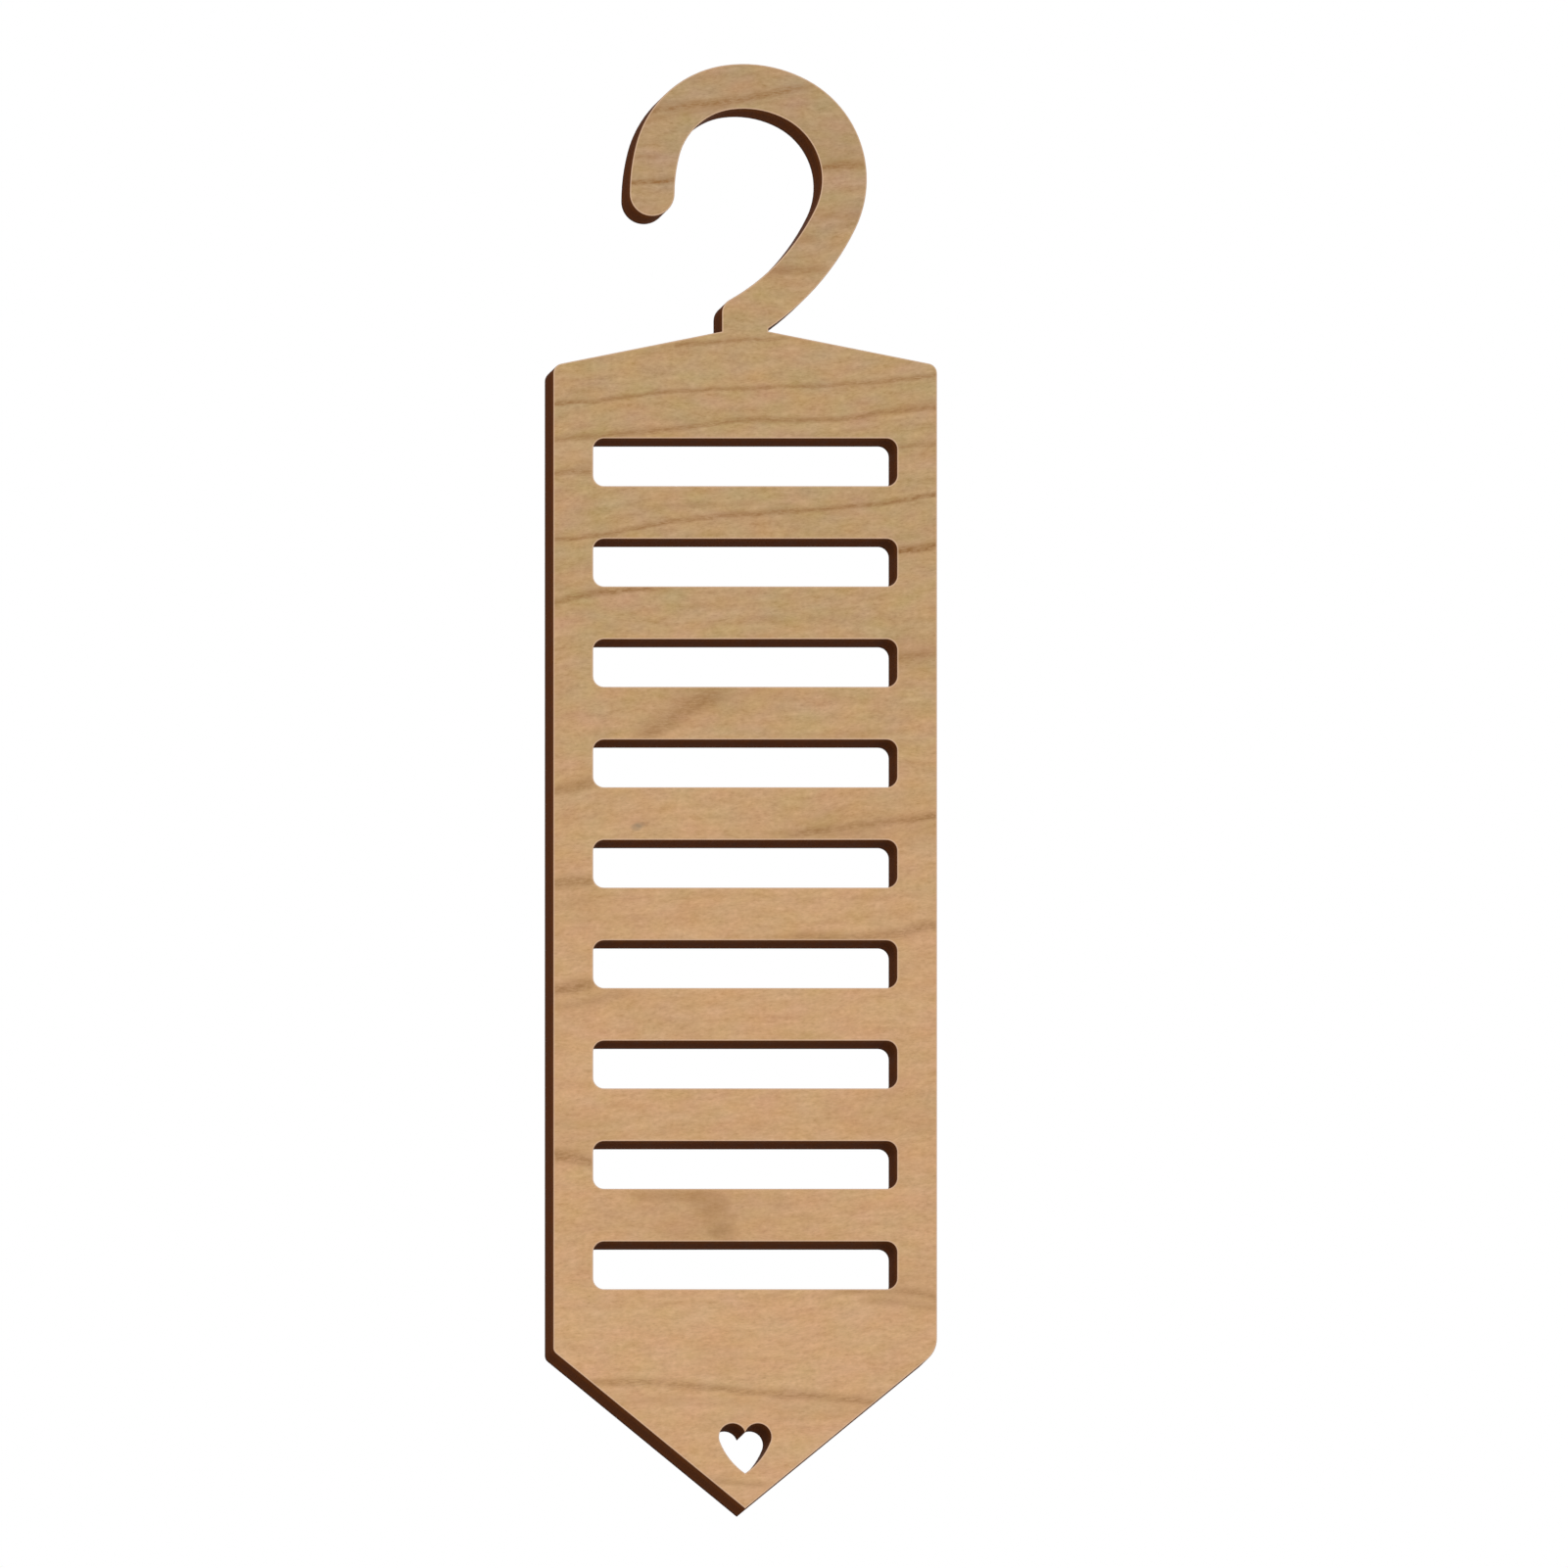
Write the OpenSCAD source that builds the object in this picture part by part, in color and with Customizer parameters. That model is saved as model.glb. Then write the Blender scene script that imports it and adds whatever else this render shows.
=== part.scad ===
// Tie hanger: a tie-shaped board of veneered plywood with its own rail hook,
// a row of slots for ties and a heart cut through the tip.
// Millimetres. X to the right, Z up, Y from the front face to the back face.
// The origin lies where the centreline of the board meets the inside of the hook.

/* [Board] */
// Width of the board across the shoulders
board_w = 100; // [84:1:130]
// Solid wood left beside each slot
rail_w = 10.4; // [6:0.2:20]
// How far the shoulders fall from the neck to the sides
shoulder_drop = 10; // [4:0.5:20]
// Solid band between the shoulder corners and the first slot
top_band_h = 19.1; // [8:0.1:40]
// Solid band between the last slot and the lower corners
bottom_band_h = 16.2; // [6:0.1:40]
// Height of the pointed end
point_h = 41; // [32:0.5:60]

/* [Corners] */
// Radius of both shoulder corners
shoulder_corner_r = 2.6; // [0.6:0.1:8]
// Radius of the lower left corner
lower_left_corner_r = 2; // [0.6:0.1:10]
// Radius of the lower right corner
lower_right_corner_r = 7; // [0.6:0.1:10]

/* [Slots] */
// Number of slots, one for each tie
slot_count = 9; // [1:1:12]
// Height of a slot
slot_h = 12.4; // [8:0.2:18]
// Distance from one slot to the next
slot_pitch = 26.16; // [22:0.02:36]
// Radius of the corners of a slot
slot_corner_r = 2.8; // [0.6:0.1:3.8]

/* [Heart] */
// Radius of the two lobes of the heart
heart_lobe_r = 3.5; // [3.4:0.1:4.4]
// Distance of each lobe's centre from the centreline
heart_lobe_x = 3.3; // [2.6:0.1:3.3]
// Height of the heart from its lobes to its tip
heart_h = 13; // [12:0.1:15]
// Radius of the long curved sides of the heart
heart_side_r = 18; // [14:0.5:30]
// Wood left between the heart and the point of the board
heart_above_point = 9.2; // [8:0.2:12]

/* [Hook] */
// Width of the wood along the hook
hook_w = 11.7; // [8:0.1:14]
// Width of the neck that carries the hook
neck_w = 12.1; // [11:0.1:16]
// Radius of the corner between the neck and the inside of the hook
neck_corner_r = 3.8; // [0.6:0.1:5]
// Where the hook's middle line starts, to the right of the centreline
hook_root_x = 2.5; // [1.5:0.1:3.5]
// How far above the peak of the shoulders it starts
hook_root_z = 4.2; // [3:0.1:8]
// Direction in which it starts, in degrees above level
hook_root_angle = 33.5; // [30:0.5:38]
// Radius of the sweep out of the neck
sweep_r = 60.5; // [55:0.5:70]
// Angle of that sweep
sweep_angle = 30.5; // [25:0.5:34]
// Radius of the bend at the back of the hook
back_bend_r = 23.5; // [20:0.5:27]
// Angle of the bend at the back
back_bend_angle = 87.5; // [82:0.5:92]
// Radius of the crown that rests on the rail
crown_r = 29.5; // [25:0.5:34]
// Angle of the crown
crown_angle = 36; // [30:0.5:42]
// Radius of the bend towards the tip of the hook
tip_bend_r = 22; // [19:0.5:25]
// Angle of the bend towards the tip
tip_bend_angle = 68; // [60:0.5:74]
// Radius of the nearly straight end of the hook
tip_end_r = 45.5; // [35:0.5:60]
// Angle of that end
tip_end_angle = 14.5; // [6:0.5:20]

/* [Plies] */
// Thickness of each face veneer
veneer_t = 0.6; // [0.4:0.1:1.2]
// Thickness of each crossband
crossband_t = 1.4; // [0.8:0.1:2]
// Thickness of the core ply
core_t = 2; // [1.2:0.1:4]

/* [Hidden] */

// Most that a straight facet may depart from its arc
facet_depth = 0.015;

// Heights down the board, measured from the peak of the shoulders
first_slot_z = -shoulder_drop - top_band_h;
last_slot_floor_z = first_slot_z - (slot_count - 1) * slot_pitch - slot_h;
lower_corner_z = last_slot_floor_z - bottom_band_h;
point_z = lower_corner_z - point_h;
side_x = board_w / 2;
slot_w = board_w - 2 * rail_w;

// Depths through the board, from the front face to the back face
front_crossband_y = veneer_t;
core_y = front_crossband_y + crossband_t;
back_crossband_y = core_y + core_t;
back_veneer_y = back_crossband_y + crossband_t;
board_t = back_veneer_y + veneer_t;

// A step of a given length in a direction in degrees
function step(length, direction) = length * [cos(direction), sin(direction)];

// Direction of a step
function direction_of(move) = atan2(move[1], move[0]);

// Points along an arc, from one direction seen from its centre to another
function arc(centre, r, from, to) = let(
    widest = 2 * acos(1 - facet_depth / r),
    facets = ceil(abs(to - from) / widest)
) [for (i = [0:facets]) centre + step(r, from + (to - from) * i / facets)];

// An outline with round corners, from a list of corners in counterclockwise order: x, z, radius
function rounded(corners) = let(count = len(corners)) [
    for (i = [0:count - 1])
        let(
            here = [corners[i][0], corners[i][1]],
            before = corners[(i + count - 1) % count],
            after = corners[(i + 1) % count],
            r = corners[i][2],
            arriving = direction_of(here - [before[0], before[1]]) - 90,
            leaving = direction_of([after[0], after[1]] - here) - 90,
            turn = (leaving - arriving + 360) % 360,
            middle = here - step(r / cos(turn / 2), arriving + turn / 2)
        )
        each r == 0 ? [here] : arc(middle, r, arriving, arriving + turn)
];

// Direction of the hook's middle line where each bend starts, from the neck to the tip
back_bend_heading = hook_root_angle + sweep_angle;
crown_heading = back_bend_heading + back_bend_angle;
tip_bend_heading = crown_heading + crown_angle;
tip_end_heading = tip_bend_heading + tip_bend_angle;
tip_heading = tip_end_heading + tip_end_angle;

// Centres of the bends: each bend carries on from the one before it without a kink
sweep_centre = [hook_root_x, hook_root_z] + step(sweep_r, hook_root_angle + 90);
back_bend_centre = sweep_centre + step(back_bend_r - sweep_r, back_bend_heading + 90);
crown_centre = back_bend_centre + step(crown_r - back_bend_r, crown_heading + 90);
tip_bend_centre = crown_centre + step(tip_bend_r - crown_r, tip_bend_heading + 90);
tip_end_centre = tip_bend_centre + step(tip_end_r - tip_bend_r, tip_end_heading + 90);

// The bends after the sweep: centre, radius, heading at the start, angle
bends = [
    [back_bend_centre, back_bend_r, back_bend_heading, back_bend_angle],
    [crown_centre, crown_r, crown_heading, crown_angle],
    [tip_bend_centre, tip_bend_r, tip_bend_heading, tip_bend_angle],
    [tip_end_centre, tip_end_r, tip_end_heading, tip_end_angle]
];

// Height of the hook's inside over the centreline of the board
seat_z = crown_centre[1] + sqrt(pow(crown_r - hook_w / 2, 2) - pow(crown_centre[0], 2));

// One edge of a bend, at a distance outside or inside its middle line
function bend_edge(bend, outside) =
    arc(bend[0], bend[1] + outside, bend[2] - 90, bend[2] + bend[3] - 90);

// A list in the opposite order
function reversed(points) = [for (i = [len(points) - 1:-1:0]) points[i]];

// The hook, from a foot inside the board: up its outer edge, round its tip, down its inner edge
module hook_outline() {
    foot_z = -shoulder_drop / 2;
    side = neck_w / 2;
    outer_r = sweep_r + hook_w / 2;
    inner_r = sweep_r - hook_w / 2;
    neck_top = -acos((side - sweep_centre[0]) / outer_r);
    round_x = neck_corner_r - side;
    round_fall = sqrt(pow(inner_r + neck_corner_r, 2) - pow(round_x - sweep_centre[0], 2));
    round_centre = [round_x, sweep_centre[1] - round_fall];
    touch = direction_of(round_centre - sweep_centre);
    sweep_end = back_bend_heading - 90;
    tip_centre = tip_end_centre + step(tip_end_r, tip_heading - 90);
    inner_edges = [for (bend = bends) bend_edge(bend, -hook_w / 2)];
    polygon(concat(
        [[-side, foot_z], [side, foot_z]],
        arc(sweep_centre, outer_r, neck_top, sweep_end),
        [for (bend = bends) each bend_edge(bend, hook_w / 2)],
        arc(tip_centre, hook_w / 2, tip_heading - 90, tip_heading + 90),
        [for (edge = reversed(inner_edges)) each reversed(edge)],
        arc(sweep_centre, inner_r, sweep_end, touch),
        arc(round_centre, neck_corner_r, touch + 180, 180)
    ));
}

// The tie-shaped board without its hook and its cuts
module board_outline() {
    polygon(rounded([
        [0, 0, 0],
        [-side_x, -shoulder_drop, shoulder_corner_r],
        [-side_x, lower_corner_z, lower_left_corner_r],
        [0, point_z, 0],
        [side_x, lower_corner_z, lower_right_corner_r],
        [side_x, -shoulder_drop, shoulder_corner_r]
    ]));
}

// One slot, hanging from z = 0
module slot() {
    side = slot_w / 2;
    polygon(rounded([
        [-side, 0, slot_corner_r],
        [-side, -slot_h, slot_corner_r],
        [side, -slot_h, slot_corner_r],
        [side, 0, slot_corner_r]
    ]));
}

// The heart, standing on its tip at z = 0
module heart() {
    lobe = [heart_lobe_x, heart_h - heart_lobe_r];
    inset = heart_side_r - heart_lobe_r;
    reach = norm(lobe);
    swing = acos((reach * reach + inset * inset - heart_side_r * heart_side_r) / (2 * reach * inset));
    inward = direction_of(-lobe) - swing;
    side_centre = lobe + step(inset, inward);
    touch = inward + 180;
    right_half = concat(
        arc(side_centre, heart_side_r, direction_of(-side_centre), touch),
        arc(lobe, heart_lobe_r, touch, acos(-heart_lobe_x / heart_lobe_r))
    );
    left_half = [for (p = reversed(right_half)) [-p[0], p[1]]];
    polygon(concat(right_half, left_half));
}

// The whole cut shape, as seen from the front
module outline() {
    difference() {
        union() {
            board_outline();
            hook_outline();
        }
        for (i = [0:slot_count - 1])
            translate([0, first_slot_z - i * slot_pitch])
                slot();
        translate([0, point_z + heart_above_point])
            heart();
    }
}

// A ply, starting at a depth behind the front face
module ply(depth, thickness) {
    translate([0, depth + thickness - board_t / 2, -seat_z])
        rotate([90, 0, 0])
            linear_extrude(thickness)
                outline();
}

module front_face_veneer() {
    color([0.78, 0.62, 0.45])
        ply(0, veneer_t);
}

module front_crossband() {
    color([0.3, 0.16, 0.09])
        ply(front_crossband_y, crossband_t);
}

module core_ply() {
    color([0.25, 0.13, 0.08])
        ply(core_y, core_t);
}

module back_crossband() {
    color([0.3, 0.16, 0.09])
        ply(back_crossband_y, crossband_t);
}

module back_face_veneer() {
    color([0.78, 0.62, 0.45])
        ply(back_veneer_y, veneer_t);
}

front_face_veneer();
front_crossband();
core_ply();
back_crossband();
back_face_veneer();
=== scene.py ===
import math

import bmesh
import bpy
from mathutils import Matrix, Vector


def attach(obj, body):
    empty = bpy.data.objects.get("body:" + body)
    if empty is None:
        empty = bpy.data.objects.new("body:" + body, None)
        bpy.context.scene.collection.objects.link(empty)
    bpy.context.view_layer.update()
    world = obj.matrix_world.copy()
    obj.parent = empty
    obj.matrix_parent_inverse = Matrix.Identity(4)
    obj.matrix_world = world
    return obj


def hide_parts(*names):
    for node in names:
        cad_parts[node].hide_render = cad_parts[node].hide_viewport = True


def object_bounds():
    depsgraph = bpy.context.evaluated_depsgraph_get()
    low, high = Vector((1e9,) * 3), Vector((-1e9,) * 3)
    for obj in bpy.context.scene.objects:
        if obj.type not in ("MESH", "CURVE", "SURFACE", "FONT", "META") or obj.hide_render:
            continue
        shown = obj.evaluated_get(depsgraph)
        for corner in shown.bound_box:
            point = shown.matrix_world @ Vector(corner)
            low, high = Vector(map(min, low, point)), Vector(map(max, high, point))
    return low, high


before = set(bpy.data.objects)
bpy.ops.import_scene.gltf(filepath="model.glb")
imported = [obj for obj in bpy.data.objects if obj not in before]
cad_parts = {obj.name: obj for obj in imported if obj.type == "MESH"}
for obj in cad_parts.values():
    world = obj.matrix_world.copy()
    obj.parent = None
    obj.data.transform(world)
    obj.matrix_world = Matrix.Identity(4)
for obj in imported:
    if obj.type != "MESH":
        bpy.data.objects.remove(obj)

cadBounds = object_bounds()
millimetre = 0.001
hair = 0.001 * millimetre               # places closer than this are the same
boardWidth = (cadBounds[1][0] - cadBounds[0][0]) / millimetre


class Value:
    # a number socket that Python's own signs can work on
    def __init__(self, graph, socket):
        self.graph = graph
        self.socket = socket

    def __add__(self, other):
        return self.graph.maths("ADD", self, other)

    def __radd__(self, other):
        return self.graph.maths("ADD", other, self)

    def __sub__(self, other):
        return self.graph.maths("SUBTRACT", self, other)

    def __rsub__(self, other):
        return self.graph.maths("SUBTRACT", other, self)

    def __mul__(self, other):
        return self.graph.maths("MULTIPLY", self, other)

    def __rmul__(self, other):
        return self.graph.maths("MULTIPLY", other, self)

    def __truediv__(self, other):
        return self.graph.maths("DIVIDE", self, other)

    def __rtruediv__(self, other):
        return self.graph.maths("DIVIDE", other, self)

    def __abs__(self):
        return self.graph.maths("ABSOLUTE", self)


class Graph:
    # builds nodes in a shader or geometry tree, laid out in rows
    rowLength = 14
    columnWidth = 190
    rowHeight = 260

    def __init__(self, tree):
        self.tree = tree
        self.count = 0

    def add(self, kind, settings=None, values=None, output=0):
        node = self.tree.nodes.new(kind)
        row, column = divmod(self.count, self.rowLength)
        node.location = (column * self.columnWidth, -row * self.rowHeight)
        self.count += 1
        for name, setting in (settings or {}).items():
            if name == "knots":
                self.bend(node.mapping, *setting)
            else:
                setattr(node, name, setting)
        for name, value in (values or {}).items():
            self.join(value, node.inputs[name])
        return Value(self, node.outputs[output]) if node.outputs else node

    def join(self, value, socket):
        if isinstance(value, Value):
            self.tree.links.new(value.socket, socket)
        else:
            socket.default_value = value

    def also(self, value, output):
        # another output of the same node
        return Value(self, value.socket.node.outputs[output])

    def bend(self, mapping, handles, knots):
        mapping.extend = "HORIZONTAL"
        curve = mapping.curves[0]
        for place in knots[1:-1]:
            curve.points.new(*place)
        curve.points[0].location = knots[0]
        curve.points[-1].location = knots[-1]
        for point in curve.points:
            point.handle_type = handles
        mapping.update()

    def maths(self, operation, first, second=None):
        values = {0: first} if second is None else {0: first, 1: second}
        return self.add("ShaderNodeMath", {"operation": operation}, values)

    def fade(self, value, start, end, low=0.0, high=1.0):
        settings = {"interpolation_type": "SMOOTHSTEP"}
        return self.add("ShaderNodeMapRange", settings, {0: value, 1: start, 2: end, 3: low, 4: high})

    def blend(self, factor, first, second):
        settings = {"data_type": "RGBA", "blend_type": "MIX"}
        return self.add("ShaderNodeMix", settings, {0: factor, 6: first, 7: second}, 2)

    def point(self, x, y, z):
        return self.add("ShaderNodeCombineXYZ", None, {0: x, 1: y, 2: z})

    def noise(self, point, detail=2.0, roughness=0.5):
        values = {"Vector": point, "Scale": 1.0, "Detail": detail, "Roughness": roughness}
        return self.add("ShaderNodeTexNoise", None, values)

    def bump(self, height, strength, distance):
        values = {"Strength": strength, "Distance": distance, "Height": height}
        return self.add("ShaderNodeBump", None, values)


def colour(red, green, blue):
    # a colour as a picture shows it, 0 to 255
    def linear(part):
        part /= 255
        return part / 12.92 if part <= 0.04045 else ((part + 0.055) / 1.055) ** 2.4
    return linear(red), linear(green), linear(blue), 1.0


def newFinish(name):
    material = bpy.data.materials.new(name)
    material.use_nodes = True
    material.node_tree.nodes.clear()
    return material, Graph(material.node_tree)


def coordinates(graph):
    # the piece's own coordinates in millimetres: across, through and up the board
    place = graph.add("ShaderNodeTexCoord", output="Object")
    x = graph.add("ShaderNodeSeparateXYZ", None, {0: place})
    return x / millimetre, graph.also(x, 1) / millimetre, graph.also(x, 2) / millimetre


def depths(nodeName):
    # nearest and farthest distance of a ply's faces from the middle of the board
    away = [abs(vertex.co.y) for vertex in bpy.data.objects[nodeName].data.vertices]
    return min(away), max(away)


# face veneers: sheets swept inwards from the cut outlines

faceSheet = {
    "arrisRadius": 0.16 * millimetre,
    "arrisSteps": 3,
    "highlightRimWidth": 0.3 * millimetre,       # width of the painted highlight, a pale line along the cuts
    "mergeGap": 0.002 * millimetre,
    "sharpAngle": 35,
    "sliverStep": 1.45,                 # an inward step longer than this marks a sharp sliver
    "sliverSpan": (2, 4),               # steps are held back this far across and up, in reaches
    "sliverTip": 0.3,                   # share of the step that is left at the sliver's tip
    "sliverShare": 0.8,                 # how near to its middle the other steps may come
}


def boundaryLoops(node, side):
    # closed loops of points round the node's flat face, with the wood on the left of each
    mesh = node.data
    flat = side * max(side * vertex.co.y for vertex in mesh.vertices)

    def place(index):
        # rounded, so that the corners of neighbouring triangles match
        return tuple(round(part, 8) for part in mesh.vertices[index].co)

    after = {}
    for face in mesh.polygons:
        corners = [place(index) for index in face.vertices]
        if all(abs(corner[1] - flat) < hair for corner in corners):
            for here, there in zip(corners, corners[1:] + corners[:1]):
                after[here, there] = True
    steps = {here: there for here, there in after if (there, here) not in after}
    loops = []
    while steps:
        start, here = steps.popitem()
        loop = [start]
        while here != start:
            loop.append(here)
            here = steps.pop(here)
        loops.append(loop if side < 0 else loop[::-1])
    return loops


def inwardStep(before, here, after):
    # moves a corner into the wood by one unit from both of its edges
    arriving = Vector((here[0] - before[0], here[2] - before[2])).normalized()
    leaving = Vector((after[0] - here[0], after[2] - here[2])).normalized()
    first = Vector((-arriving.y, arriving.x))
    second = Vector((-leaving.y, leaving.x))
    return (first + second) / (1 + first.dot(second))


def easedStep(step, here, sliver, reach):
    # holds a step back where it would cross the middle of a sharp sliver of wood
    across = here[0] - sliver[0]
    up = here[2] - sliver[2]
    spanAcross, spanUp = faceSheet["sliverSpan"]
    if abs(across) > reach * spanAcross or abs(up) > reach * spanUp:
        return step
    if abs(across) < hair:
        return step * faceSheet["sliverTip"]
    closing = -step.x * reach / across
    return step * min(1, faceSheet["sliverShare"] / closing) if closing > 0 else step


def sharpSlivers(loop):
    # corners where the wood comes to a point narrower than a right angle
    found = []
    for i, here in enumerate(loop):
        step = inwardStep(loop[i - 1], here, loop[(i + 1) % len(loop)])
        before = Vector((loop[i - 1][0] - here[0], loop[i - 1][2] - here[2]))
        if step.length > faceSheet["sliverStep"] and before.dot(step) > 0:
            found.append(here)
    return found


def outlineMesh(name, loops):
    points, edges, inward = [], [], []
    reach = faceSheet["arrisRadius"] + faceSheet["highlightRimWidth"]
    for loop in loops:
        start = len(points)
        count = len(loop)
        slivers = sharpSlivers(loop)
        for i, here in enumerate(loop):
            step = inwardStep(loop[i - 1], here, loop[(i + 1) % count])
            for sliver in slivers:
                step = easedStep(step, here, sliver, reach)
            points.append((here[0], here[2], 0))
            inward.append((step.x, step.y, 0))
            edges.append((start + i, start + (i + 1) % count))
    mesh = bpy.data.meshes.new(name)
    mesh.from_pydata(points, edges, [])
    stored = mesh.attributes.new("inward", "FLOAT_VECTOR", "POINT")
    stored.data.foreach_set("vector", [part for step in inward for part in step])
    return mesh


def sheetTree():
    tree = bpy.data.node_groups.new("veneerSheet", "GeometryNodeTree")
    face = tree.interface
    face.new_socket("Outlines", in_out="INPUT", socket_type="NodeSocketGeometry")
    sockets = {}
    for name in ("Inner face", "Thickness", "Arris radius", "Rim width", "Outward"):
        sockets[name] = face.new_socket(name, in_out="INPUT", socket_type="NodeSocketFloat")
    sockets["Finish"] = face.new_socket("Finish", in_out="INPUT", socket_type="NodeSocketMaterial")
    face.new_socket("Sheet", in_out="OUTPUT", socket_type="NodeSocketGeometry")
    graph = Graph(tree)
    outlines = graph.add("NodeGroupInput")
    inner, thickness, arris, highlightRim, outward, finish = [graph.also(outlines, i) for i in range(1, 7)]
    stored = {"data_type": "FLOAT_VECTOR"}
    inward = graph.add("GeometryNodeInputNamedAttribute", stored, {"Name": "inward"})

    def store(mesh, value, chosen=True):
        settings = {"data_type": "FLOAT", "domain": "POINT"}
        values = {"Geometry": mesh, "Selection": chosen, "Name": "fromCut", "Value": value}
        return graph.add("GeometryNodeStoreNamedAttribute", settings, values)

    def moved(mesh, chosen, inset, height):
        sideways = graph.add("ShaderNodeVectorMath", {"operation": "SCALE"}, {0: inward, "Scale": inset})
        lifted = graph.point(0, 0, outward * height)
        offset = graph.add("ShaderNodeVectorMath", {"operation": "ADD"}, {0: sideways, 1: lifted})
        values = {"Geometry": mesh, "Selection": chosen, "Offset": offset}
        return graph.add("GeometryNodeSetPosition", None, values)

    def filled(outline, height, fromCut):
        curve = graph.add("GeometryNodeMeshToCurve", None, {0: outline})
        sheet = graph.add("GeometryNodeFillCurve", None, {0: curve})
        lifted = graph.point(0, 0, outward * height)
        sheet = graph.add("GeometryNodeSetPosition", None, {"Geometry": sheet, "Offset": lifted})
        return store(sheet, fromCut)

    inside = -1                         # fromCut of the inner face, which is scorched all over
    back = filled(outlines, inner, inside)
    mesh = store(moved(outlines, True, 0, inner), inside)
    chosen = True
    wall = thickness - arris
    steps = faceSheet["arrisSteps"]
    rings = [(0, wall, 0)]              # inset, height, and the distance from the cut in millimetres
    for i in range(1, steps + 1):
        turned = math.pi / 2 * i / steps, math.pi / 2 * (i - 1) / steps
        inset = math.cos(turned[1]) - math.cos(turned[0])
        rise = math.sin(turned[0]) - math.sin(turned[1])
        rings.append((arris * inset, arris * rise, arris * (i / steps / millimetre)))
    # the last, flat ring of the face carries the painted highlight along the cut
    rings.append((highlightRim, 0, (arris + highlightRim) * (1 / millimetre)))
    for inset, height, fromCut in rings:
        values = {"Mesh": mesh, "Selection": chosen, "Offset Scale": 0}
        grown = graph.add("GeometryNodeExtrudeMesh", {"mode": "EDGES"}, values)
        chosen = graph.also(grown, "Top")
        mesh = store(moved(grown, chosen, inset, height), fromCut, chosen)
    values = {"Geometry": mesh, "Selection": chosen}
    lastRing = graph.add("GeometryNodeSeparateGeometry", {"domain": "EDGE"}, values)
    front = filled(lastRing, inner + thickness, rings[-1][2])
    joined = graph.add("GeometryNodeJoinGeometry")
    for part in (back, mesh, front):
        tree.links.new(part.socket, joined.socket.node.inputs[0])
    values = {"Geometry": joined, "Distance": faceSheet["mergeGap"]}
    joined = graph.add("GeometryNodeMergeByDistance", None, values)
    upright = {"Geometry": joined, "Rotation": (math.pi / 2, 0, 0)}
    joined = graph.add("GeometryNodeTransform", None, upright)
    joined = graph.add("GeometryNodeRealizeInstances", None, {0: joined})
    joined = graph.add("GeometryNodeSetMaterial", None, {"Geometry": joined, "Material": finish})
    graph.add("NodeGroupOutput", None, {0: joined})
    return tree, {name: socket.identifier for name, socket in sockets.items()}


def faceVeneer(name, nodeName, side, tree, sockets, finish):
    outline = outlineMesh(name, boundaryLoops(bpy.data.objects[nodeName], side))
    piece = bpy.data.objects.new(name, outline)
    bpy.context.collection.objects.link(piece)
    modifier = piece.modifiers.new("sheet", "NODES")
    modifier.node_group = tree
    innerFace, outerFace = depths(nodeName)
    given = {
        "Inner face": innerFace, "Thickness": outerFace - innerFace,
        "Arris radius": faceSheet["arrisRadius"], "Rim width": faceSheet["highlightRimWidth"],
        "Outward": -float(side), "Finish": finish,
    }
    for label, value in given.items():
        modifier[sockets[label]] = value
    settled = bpy.context.evaluated_depsgraph_get()
    mesh = bpy.data.meshes.new_from_object(
        piece.evaluated_get(settled), preserve_all_data_layers=True, depsgraph=settled)
    piece.modifiers.clear()
    piece.data = mesh
    work = bmesh.new()
    work.from_mesh(mesh)
    bmesh.ops.recalc_face_normals(work, faces=work.faces)
    work.to_mesh(mesh)
    work.free()
    mesh.shade_smooth()
    mesh.set_sharp_from_angle(angle=math.radians(faceSheet["sharpAngle"]))
    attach(piece, "root")
    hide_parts(nodeName)
    print(name, len(mesh.vertices), "points", len(mesh.polygons), "faces")


# the scorched wood of the cuts

scorch = {
    "near": colour(90, 46, 11),         # beside the front face
    "far": colour(83, 43, 17),          # most of the way through
    "exit": colour(61, 34, 21),         # beside the back face
    "nearToFar": (-3, -0.5),            # depths between which the far tone takes over
    "farToExit": (1.9, 2.7),
    "soot": (0.35, 0.25),               # how fine along the cut and through the board
    "striae": (3.1, 0.18),
    "detail": (3.0, 0.6),
    "weight": 0.5,                      # of the soot and of the striae
    "light": 0.52,                      # brings the mean back to the tones above
    "glueShade": 0.16,
    "glueWidth": (0.03, 0.12),          # where the line between two plies starts and ends to fade
    "rough": (0.3, 0.7, 0.8, 0.95),
    "bump": (0.35, 0.08 * millimetre),
    "gloss": 0.05,
}

# the inner plies: node, finish, and how much lighter or darker it is
innerPlies = [
    ("front_crossband", "scorchedCrossbandFront", 1.06),
    ("core_ply", "scorchedCore", 0.94),
    ("back_crossband", "scorchedCrossbandBack", 1.06),
]
glueDepths = [depths(nodeName)[1] / millimetre for nodeName in ("core_ply", "front_crossband")]


def scorchedColour(graph, x, y, z, tone=1.0):
    base = graph.blend(graph.fade(y, *scorch["nearToFar"]), scorch["near"], scorch["far"])
    base = graph.blend(graph.fade(y, *scorch["farToExit"]), base, scorch["exit"])

    def marks(along, through):
        return graph.noise(graph.point(x * along, y * through, z * along), *scorch["detail"])

    soot = marks(*scorch["soot"])
    striae = marks(*scorch["striae"])
    depth = abs(y)
    glue = 0.0
    for glueDepth in glueDepths:
        glue = graph.fade(abs(depth - glueDepth), *scorch["glueWidth"], 1, 0) + glue
    weight = scorch["weight"]
    shade = (soot * weight + striae * weight - glue * scorch["glueShade"] + scorch["light"]) * tone
    base = graph.add("ShaderNodeVectorMath", {"operation": "SCALE"}, {0: base, "Scale": shade})
    return base, soot, striae


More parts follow.
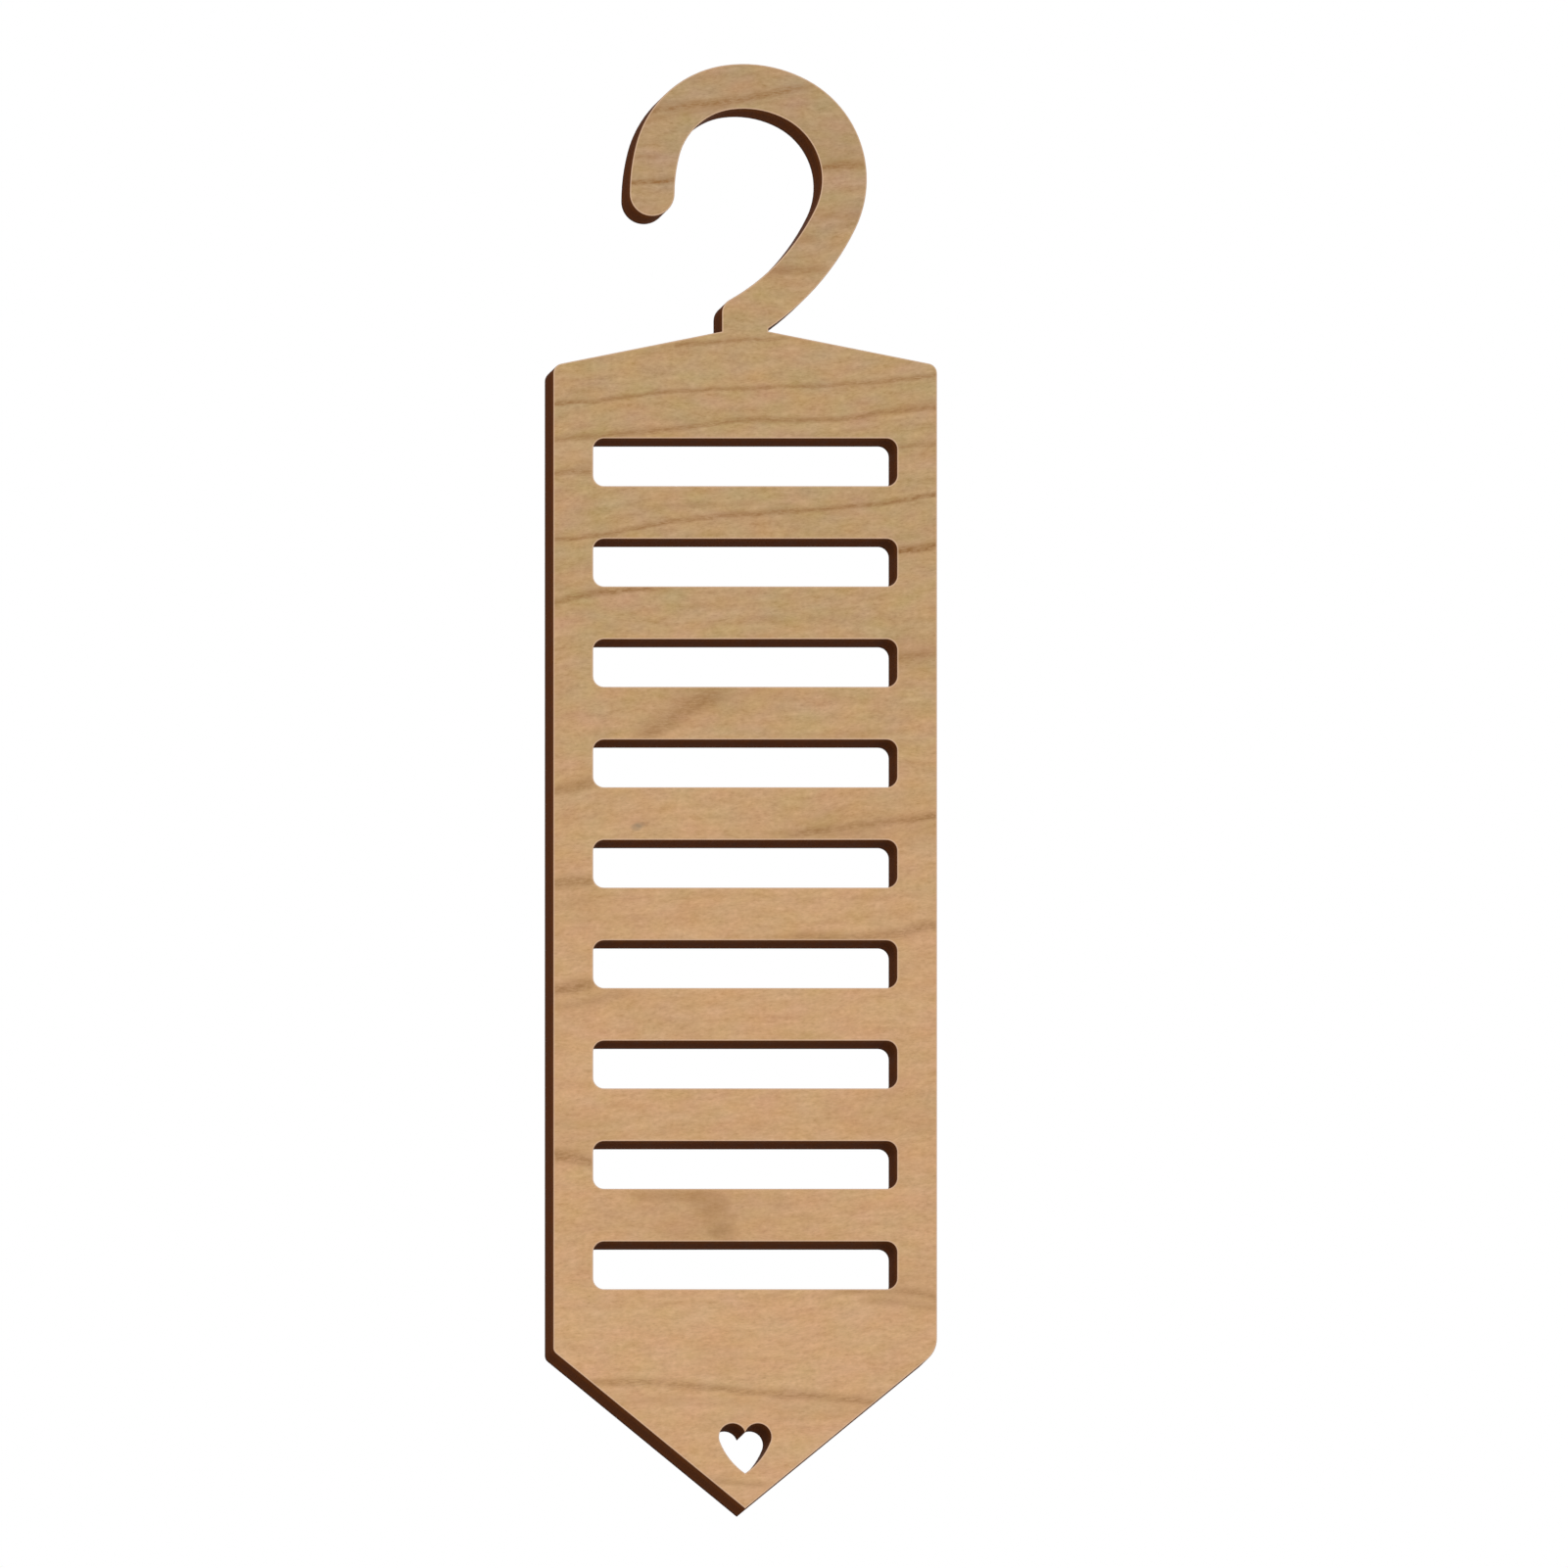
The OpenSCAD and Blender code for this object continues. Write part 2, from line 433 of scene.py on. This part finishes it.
def surface(graph, base, roughness, bump, gloss):
    values = {"Base Color": base, "Roughness": roughness, "Normal": bump, "Specular IOR Level": gloss}
    shader = graph.add("ShaderNodeBsdfPrincipled", None, values)
    graph.add("ShaderNodeOutputMaterial", None, {"Surface": shader})


def scorchedFinish(name, tone):
    material, graph = newFinish(name)
    x, y, z = coordinates(graph)
    base, soot, striae = scorchedColour(graph, x, y, z, tone)
    bump = graph.bump(striae, *scorch["bump"])
    surface(graph, base, graph.fade(soot, *scorch["rough"]), bump, scorch["gloss"])
    return material


# the wood of the face veneers, in millimetres

cherry = {
    "hook": colour(184, 151, 112),
    "upper": colour(190, 155, 112),
    "lower": colour(207, 164, 120),
    "hookEnd": (-52, -26),              # heights between which the hook's tone takes over
    "drift": (-105, -240),              # heights between which the upper tone gives way
    "brighter": (-292, -318, 0, 0.04),  # the wood below the slots is a little lighter
    "calmer": 0.9,                      # the figure is fainter in the lower wood
    "blush": (0.15, 0.09),              # how far the wood turns pink or green, above and below
    "blushParts": (1.2, 0.8),           # its share in red and green
    "sallow": (0.45, 0.28),             # how far it turns yellow or grey
    "deepening": (0.8, 1.0, 1.4),       # how strongly red, green and blue take part in a shade
    # painted highlight: a pale line on the face along the cuts, as if the arris caught the light
    "highlightRim": colour(222, 186, 156),
    "highlightRimEdge": (0.22, 0.42, 0.7, 0),    # the painted highlight's strength between two distances from the cut
    "burntEdge": (0.03, 0.12, 1, 0),
    "slope": 0.07,                      # the grain climbs to the right
    "wander": (0.018, 0.03, 7),         # how fine it wanders across and up, and how far
    "rough": (0.3, 0.7, 0.55, 0.68),
    "burntRough": 0.28,
    "relief": (0.5, 0.5, 0.8),          # fibres and threads stand up, pores lie deep
    "bump": (0.25, 0.05 * millimetre),
    "gloss": 0.12,
}

# layers of the figure: how fine they are across, their place in the noise, how fine they are
# across the grain, detail, roughness, and their weight in the shade
figureLayers = {
    "mottle": (0.16, 4, 0.42, 3.0, 0.62, 0.32),
    "bands": (0.035, 8, 0.38, 3.0, 0.6, 0.3),
    "streaks": (0.15, 40, 0.8, 2.0, 0.55, 0.28),
    "fibres": (0.5, 12, 1.0, 3.0, 0.62, 0.5),
    "flecks": (0.9, 16, 2.0, 1.0, 0.5, 0.22),
    "threads": (0.45, 44, 3.0, 4.0, 0.7, 0.16),
    "pores": (0.7, 48, 9, 1.0, 0.5, -0.17),
    "pinks": (0.09, 32, 0.16, 1.0, 0.5, 0),
    "yellows": (0.12, 36, 0.2, 1.0, 0.5, 0),
}
figureBalance = -0.85                   # brings the mean of the shade back to nothing
poreEdge = (0.54, 0.68)

# how rings and blotches are drawn
marking = {
    "tone": colour(152, 110, 66),
    "edges": (-1.5, 2.2),               # where a ring has faded out, below and above, in half widths
    "ease": 0.2,                        # share of its length in which its strength changes
    "tail": 1,                          # it fades out over this length at its ends
    "margin": 0.01,                     # keeps a ring's path off the limits of its curve
    "waver": (0.14, 20, 0.2, 5.0, 0.72),
    "waverHeight": 2.4,
    "raggedMix": (0.6, 0.4),            # of threads and fibres
    "ragged": (0.38, 0.6, 0.25, 1.15),
    "patchy": (0.3, 0.65, 0.75, 1.1),
    "blotchWaver": 2,                   # how much more than the rings the blotches waver
    "gumWaver": 0.5,                    # and how much less the gum
}

# growth rings on the front: half width, strength at its start, middle and end, then points
# across and up
frontRings = [
    ("crown", 1.0, (0.7, 0.75, 0), [(-26, -1.2), (-20, 0), (2, 2.9), (21, 7.1)]),
    ("crown lower", 0.7, (0.45, 0.35, 0), [(-26, -3.4), (-14, -0.9), (0, 1.3)]),
    ("hook tip", 0.6, (1, 0.95, 0.8), [(-31, -19.5), (-18, -18.7)]),
    ("hook tip faint", 0.5, (0.4, 0.45, 0), [(-29, -12.6), (-22, -12.8)]),
    ("hook back", 0.9, (0.85, 0.85, 0.5), [(18, -15.7), (32, -14.6)]),
    ("hook back faint", 0.8, (0.1, 0.35, 0.2), [(19, -28.6), (31, -27.7)]),
    ("hook throat", 1.0, (0.3, 0.4, 0), [(6, -35.2), (20, -34)]),
    ("hook root", 1.1, (0.55, 0.6, 0), [(4, -43.2), (15, -42.1), (22, -42.4)]),
    ("neck foot", 0.6, (0.7, 0.65, 0), [(-18, -61.7), (-10, -60.9), (13, -59.9)]),
    ("band one", 0.6, (0.8, 0.65, 0.7), [
        (-51, -76.9), (-40, -76.3), (-17, -73.6), (25, -72), (50, -69.3)]),
    ("band two", 0.75, (0.55, 0.68, 0.65), [
        (-51, -86.4), (-40, -85.5), (-10, -82.5), (0, -81.3), (23, -81.1), (40, -78.5), (51, -77.9)]),
    ("beside slot one", 0.8, (0.6, 0.65, 0), [(-51, -95.1), (-38, -94.4)]),
    ("beside slot one right", 0.6, (0.4, 0.55, 0.5), [(39, -88.7), (50, -87.3)]),
    ("bar one", 0.65, (0.75, 0.75, 0.85), [
        (-51, -112.3), (-40, -111.5), (-23, -108.4), (-5, -106.1), (23, -104.2), (51, -100.5)]),
    ("bar one upper", 0.6, (0, 0.25, 0), [(-31, -107.1), (-4, -103), (8, -103.3)]),
    ("beside slot two right", 1.0, (0.85, 1, 0.7), [(38, -116.1), (51, -113.8)]),
    ("bar two", 0.9, (0.65, 0.85, 0), [(-51, -128.9), (-27, -125.2), (-18, -124.7)]),
    ("beside slot three right", 1.0, (0.45, 0.5, 0.3), [(38, -143.3), (50, -142.1)]),
    ("bar three slant", 2.8, (0, 0.6, 0), [(-31, -164.6), (-24, -162.3), (-14, -156), (-3, -151.4)]),
    ("beside slot four", 1.4, (0.65, 0.6, 0), [(-51, -177.9), (-38, -175.4)]),
    ("bar four", 0.95, (0, 0.5, 0.85), [(8, -190.8), (23, -187.5), (45, -185.2), (51, -183.7)]),
    ("bar four lower", 0.9, (0, 0.25, 0), [
        (2, -189.8), (10, -189), (18, -189), (23, -189), (33, -187.7)]),
    ("beside slot five", 1.4, (0.7, 0.7, 0), [(-51, -202), (-38, -200.8)]),
    ("bar five", 1.3, (0, 0.6, 0.75), [
        (5, -217.4), (14, -216.3), (23, -216.4), (36, -215.8), (46, -213.6), (51, -212.9)]),
    ("beside slot six", 1.5, (0.65, 0.65, 0), [(-51, -230), (-44, -229.1), (-38, -227.3)]),
    ("beside slot six lower", 1.2, (0.15, 0.35, 0), [(-51, -234.3), (-40, -232.4), (-28, -229.4)]),
    ("beside slot seven", 1.6, (0.6, 0.7, 0), [(-51, -272.6), (-44, -273.8), (-38, -275.6)]),
    ("below slot nine", 1.0, (0, 0.4, 0.45), [(20, -308.6), (38, -308.2), (50, -310.6)]),
    ("below slot nine lower", 0.9, (0, 0.25, 0.25), [(29, -310.2), (38, -311), (50, -312.8)]),
    ("point line", 1.0, (0.5, 0.55, 0.5), [
        (-41, -332.4), (-31, -332), (-15, -332.7), (6, -335), (17, -335.5), (36, -337.8)]),
    ("point line faint", 1.2, (0, 0.2, 0), [(-41, -337), (-18, -337), (8, -338.3)]),
    ("under heart", 0.9, (0, 0.4, 0), [(-11, -357.4), (-3, -358.1), (8, -359)]),
]

# growth rings on the hidden back, which no photograph shows
backRings = [
    ("hook crown", 0.6, (0.2, 0.7, 0.3), [(-27, -6), (-12, -1.5), (4, 1), (28, 3.5)]),
    ("hook back", 0.9, (0.2, 0.7, 0.3), [(14, -19), (33, -16)]),
    ("hook end", 0.7, (0.4, 0.6, 0.3), [(-31, -14), (-17, -12.4)]),
    ("hook root", 0.8, (0.3, 0.6, 0.3), [(-2, -47), (9, -45.6), (24, -45)]),
    ("upper band top", 0.6, (0.4, 0.7, 0), [(-50, -74.4), (-20, -72), (12, -70.2)]),
    ("upper band", 0.7, (0.6, 0.8, 0.6), [
        (-50, -81), (-28, -79.2), (-6, -76.4), (20, -74.8), (50, -71.5)]),
    ("first bar", 0.8, (0.7, 0.7, 0.8), [
        (-50, -108.5), (-26, -106), (0, -103.6), (27, -101.2), (50, -98.4)]),
    ("second bar", 0.7, (0.3, 0.6, 0), [(-50, -131), (-20, -129.6), (32, -127)]),
    ("third bar", 1.6, (0, 0.7, 0.5), [(-6, -160.5), (10, -158.6), (22, -155.2), (50, -151.6)]),
    ("fourth bar", 0.9, (0.7, 0.5, 0), [(-50, -183.8), (-30, -182), (4, -179.4)]),
    ("fifth bar", 1.2, (0.5, 0.8, 0), [(-50, -214.2), (-24, -212.6), (-2, -209.4), (14, -208.4)]),
    ("sixth bar", 1.0, (0, 0.6, 0.4), [(-20, -239.4), (6, -237.6), (50, -235)]),
    ("eighth bar", 2.0, (0, 0.7, 0.2), [(2, -290.6), (14, -288.4), (40, -286.8)]),
    ("lower band", 0.9, (0.5, 0.6, 0), [(-50, -316.2), (-30, -314.2), (6, -312.4)]),
    ("point", 1.0, (0.3, 0.6, 0.4), [(-34, -338.8), (-14, -337.6), (6, -335.2), (36, -332.4)]),
]

# soft brown blotches on the front: across, up, half width, half height, strength
frontBlotches = [
    (18, -10, 16, 8, 0.12), (46, -142, 14, 8, 0.14), (-7, -153, 28, 7, 0.1), (30, -163, 12, 1.6, 0.12),
    (34, -188, 28, 8, 0.14), (-26.2, -186.3, 1.6, 0.8, 0.4), (-46, -207, 18, 6, 0.14),
    (-38, -234, 24, 8, 0.08), (42, -262, 26, 8, 0.1), (-42, -267, 14, 8, 0.12),
    (-20, -282.8, 13, 2.8, 0.28), (-10, -285, 8, 4, 0.28), (-7, -289, 6, 5, 0.18),
    (-5.5, -293, 5.5, 3, 0.22), (-14, -292, 12, 5, 0.12), (-12, -288, 34, 9, 0.14),
    (47, -308, 22, 8, 0.12), (-8, -327, 10, 5, 0.12), (20, -339, 22, 5, 0.1),
]

# a greyish fleck of gum in the wood of the front, written as the blotches are
gumFleck = {
    "marks": [(-28.4, -187.3, 1.9, 1.3, 0.5), (-27.4, -186.6, 1.8, 1.0, 0.35)],
    "tone": colour(151, 131, 105),
}


def ringLines(graph, x, z, rings):
    along = x * (1 / boardWidth) + 0.5  # 0 at the left side of the board, 1 at the right
    below, above = marking["edges"]
    tail = marking["tail"] / boardWidth
    dark = 0.0
    for name, half, strengths, points in rings:
        places = [point[0] / boardWidth + 0.5 for point in points]
        low = min(point[1] for point in points) - marking["margin"]
        rise = max(point[1] for point in points) + marking["margin"] - low
        heights = [(place, (point[1] - low) / rise) for place, point in zip(places, points)]
        first, last = places[0], places[-1]
        ease = (last - first) * marking["ease"]
        start, middle, end = strengths
        levels = [(first, start), (first + ease, middle), (last - ease, middle), (last, end)]
        path = {"label": name, "knots": ("AUTO", heights)}
        height = graph.add("ShaderNodeFloatCurve", path, {"Value": along})
        strength = graph.add("ShaderNodeFloatCurve", {"knots": ("VECTOR", levels)}, {"Value": along})
        away = z - height * rise - low
        line = graph.fade(away, half * below, 0) * graph.fade(away, 0, half * above, 1, 0) * strength
        ends = graph.fade(along, first - tail, first) * graph.fade(along, last, last + tail, 1, 0)
        dark = line * ends + dark
    return dark


def blotches(graph, x, z, marks):
    dark = 0.0
    for across, up, width, height, strength in marks:
        sideways = (x - across) * (1 / width)
        upwards = (z - up) * (1 / height)
        dark = graph.fade(sideways * sideways + upwards * upwards, 0, 1, strength, 0) + dark
    return dark


def cherryFinish(name, seed, rings, marks):
    material, graph = newFinish(name)
    x, y, z = coordinates(graph)
    wanderAcross, wanderUp, wanderHeight = cherry["wander"]
    wander = graph.noise(graph.point(x * wanderAcross + seed, 0, z * wanderUp))
    grain = z - x * cherry["slope"] + wander * wanderHeight

    def layer(across, place, upwards, detail, roughness, height=grain):
        point = graph.point(x * across, seed + place, height * upwards)
        return graph.noise(point, detail, roughness)

    figure = {layerName: layer(*sizes[:-1]) for layerName, sizes in figureLayers.items()}
    figure["pores"] = graph.fade(figure["pores"], *poreEdge)
    fibres, threads, pores = figure["fibres"], figure["threads"], figure["pores"]

    drift = graph.fade(z, *cherry["drift"])
    base = graph.blend(drift, cherry["upper"], cherry["lower"])
    base = graph.blend(graph.fade(z, *cherry["hookEnd"]), base, cherry["hook"])

    shade = figureBalance
    for layerName, sizes in figureLayers.items():
        if sizes[-1]:
            shade = figure[layerName] * sizes[-1] + shade
    shade = shade * graph.fade(drift, 0, 1, 1.0, cherry["calmer"]) + graph.fade(z, *cherry["brighter"])
    blush = (figure["pinks"] - 0.5) * graph.fade(drift, 0, 1, *cherry["blush"])
    sallow = (figure["yellows"] - 0.5) * graph.fade(drift, 0, 1, *cherry["sallow"])
    red, green, blue = [shade * part + 1.0 for part in cherry["deepening"]]
    inRed, inGreen = cherry["blushParts"]
    factors = graph.point(red + blush * inRed, green - blush * inGreen, blue - sallow)
    base = graph.add("ShaderNodeVectorMath", {"operation": "MULTIPLY"}, {0: base, 1: factors})

    inThreads, inFibres = marking["raggedMix"]
    ragged = graph.fade(threads * inThreads + fibres * inFibres, *marking["ragged"])
    waver = (layer(*marking["waver"], z) - 0.5) * marking["waverHeight"]
    patchy = graph.fade(figure["streaks"], *marking["patchy"])
    dark = ringLines(graph, x, z + waver, rings) * ragged
    dark = blotches(graph, x, z + waver * marking["blotchWaver"], marks) * patchy + dark
    base = graph.blend(dark, base, marking["tone"])
    if marks:
        gum = blotches(graph, x, z + waver * marking["gumWaver"], gumFleck["marks"])
        base = graph.blend(gum, base, gumFleck["tone"])

    fromCut = graph.add("ShaderNodeAttribute", {"attribute_name": "fromCut"}, None, "Fac")
    # painted highlight along the cuts, fading inwards from the arris
    base = graph.blend(graph.fade(fromCut, *cherry["highlightRimEdge"]), base, cherry["highlightRim"])
    burning = graph.fade(fromCut, *cherry["burntEdge"])
    base = graph.blend(burning, base, scorchedColour(graph, x, y, z)[0])
    fibreHeight, threadHeight, poreDepth = cherry["relief"]
    height = fibres * fibreHeight + threads * threadHeight - pores * poreDepth
    roughness = graph.fade(fibres, *cherry["rough"]) + burning * cherry["burntRough"]
    surface(graph, base, roughness, graph.bump(height, *cherry["bump"]), cherry["gloss"])
    return material


# the two faces: piece, node, side, finish, seed, rings, blotches
faces = [
    ("frontFaceSheet", "front_face_veneer", -1, "cherryFaceFront", 3.1, frontRings, frontBlotches),
    ("backFaceSheet", "back_face_veneer", 1, "cherryFaceBack", 41.7, backRings, []),
]
sheet, sockets = sheetTree()
for name, nodeName, side, finishName, seed, rings, marks in faces:
    faceVeneer(name, nodeName, side, sheet, sockets, cherryFinish(finishName, seed, rings, marks))
print("face veneers done")

for nodeName, finishName, tone in innerPlies:
    node = bpy.data.objects[nodeName]
    node.data.materials.clear()
    node.data.materials.append(scorchedFinish(finishName, tone))
print("inner plies done")


# stage

stage = {
    "floorHeight": -0.8,
    "floorRadius": 3.0,
    "floorSegments": 96,
    "floorTone": (0.86, 0.86, 0.86, 1),
    "floorEdge": (0.3, 0.95),           # shares of the radius between which the floor fades out
    "fill": 0.49,                       # strength of the white surroundings as light
    "lampAim": (0, 0, -0.18),
    "lampSize": 1.2,
    "lamps": [                          # name, place, power
        ("key", (-0.9, -1.4, 0.5), 12),
        ("fill", (1.2, -1.2, -0.1), 4.5),
        ("backFill", (0.7, 1.4, 0.6), 11),
    ],
}


def floorFinish():
    material, graph = newFinish("paleFloor")
    place = graph.add("ShaderNodeTexCoord", output="Object")
    far = graph.add("ShaderNodeVectorMath", {"operation": "LENGTH"}, {0: place}, 1)
    plain = graph.add("ShaderNodeBsdfDiffuse", None, {"Color": stage["floorTone"]})
    clear = graph.add("ShaderNodeBsdfTransparent")
    edge = graph.fade(far, *[stage["floorRadius"] * share for share in stage["floorEdge"]])
    mixed = graph.add("ShaderNodeMixShader", None, {0: edge, 1: plain, 2: clear})
    graph.add("ShaderNodeOutputMaterial", None, {"Surface": mixed})
    return material


def buildFloor():
    work = bmesh.new()
    bmesh.ops.create_circle(
        work, cap_ends=True, segments=stage["floorSegments"], radius=stage["floorRadius"])
    mesh = bpy.data.meshes.new("floor")
    work.to_mesh(mesh)
    work.free()
    floor = bpy.data.objects.new("floor", mesh)
    bpy.context.collection.objects.link(floor)
    floor.location.z = stage["floorHeight"]
    mesh.materials.append(floorFinish())


def buildSurroundings():
    world = bpy.data.worlds.new("whiteStudio")
    world.use_nodes = True
    world.node_tree.nodes.clear()
    graph = Graph(world.node_tree)
    path = graph.add("ShaderNodeLightPath", output="Is Camera Ray")
    seen = path + graph.also(path, "Is Glossy Ray") + graph.also(path, "Is Transmission Ray")
    strength = graph.fade(seen, 0, 1, stage["fill"], 1.0)
    sky = graph.add("ShaderNodeBackground", None, {"Color": (1, 1, 1, 1), "Strength": strength})
    graph.add("ShaderNodeOutputWorld", None, {"Surface": sky})
    bpy.context.scene.world = world


def softLamp(name, place, power):
    lamp = bpy.data.lights.new(name, "AREA")
    lamp.shape = "DISK"
    lamp.size = stage["lampSize"]
    lamp.energy = power
    holder = bpy.data.objects.new(name, lamp)
    holder.location = place
    sight = Vector(stage["lampAim"]) - Vector(place)
    holder.rotation_euler = sight.to_track_quat("-Z", "Y").to_euler()
    holder.visible_camera = False
    bpy.context.collection.objects.link(holder)


# The picture is an oblique drawing: the front face is shown square on, at one scale, and the
# thickness runs off to the lower left. The camera is parallel, its frame square to the board,
# and its holder leans its line of sight.
lens = {
    "pixels": 1601,
    "pixel": 0.255226 * millimetre,     # size of a pixel on the board
    "aim": (10.09 * millimetre, -3 * millimetre, -175.97 * millimetre),
    "lean": (0.383, 0.370),             # sideways and upwards per unit of depth
    "standOff": 1.1,
    "clip": (0.01, 20),
}


def buildCamera():
    camera = bpy.data.cameras.new("camera")
    camera.type = "ORTHO"
    camera.ortho_scale = lens["pixels"] * lens["pixel"]
    camera.clip_start, camera.clip_end = lens["clip"]
    holder = bpy.data.objects.new("cameraHolder", None)
    viewer = bpy.data.objects.new("camera", camera)
    for item in (holder, viewer):
        bpy.context.collection.objects.link(item)
    sight = Vector((lens["lean"][0], 1, lens["lean"][1]))
    place = Vector(lens["aim"]) - sight * lens["standOff"]
    back = -sight.normalized()
    rows = (1, 0, back.x, place.x), (0, 0, back.y, place.y), (0, 1, back.z, place.z), (0, 0, 0, 1)
    viewer.parent = holder
    viewer.matrix_parent_inverse = Matrix(rows)
    bpy.context.scene.camera = viewer


buildFloor()
buildSurroundings()
for name, place, power in stage["lamps"]:
    softLamp(name, place, power)
buildCamera()
bpy.context.scene.view_settings.view_transform = "Standard"
print("stage done")
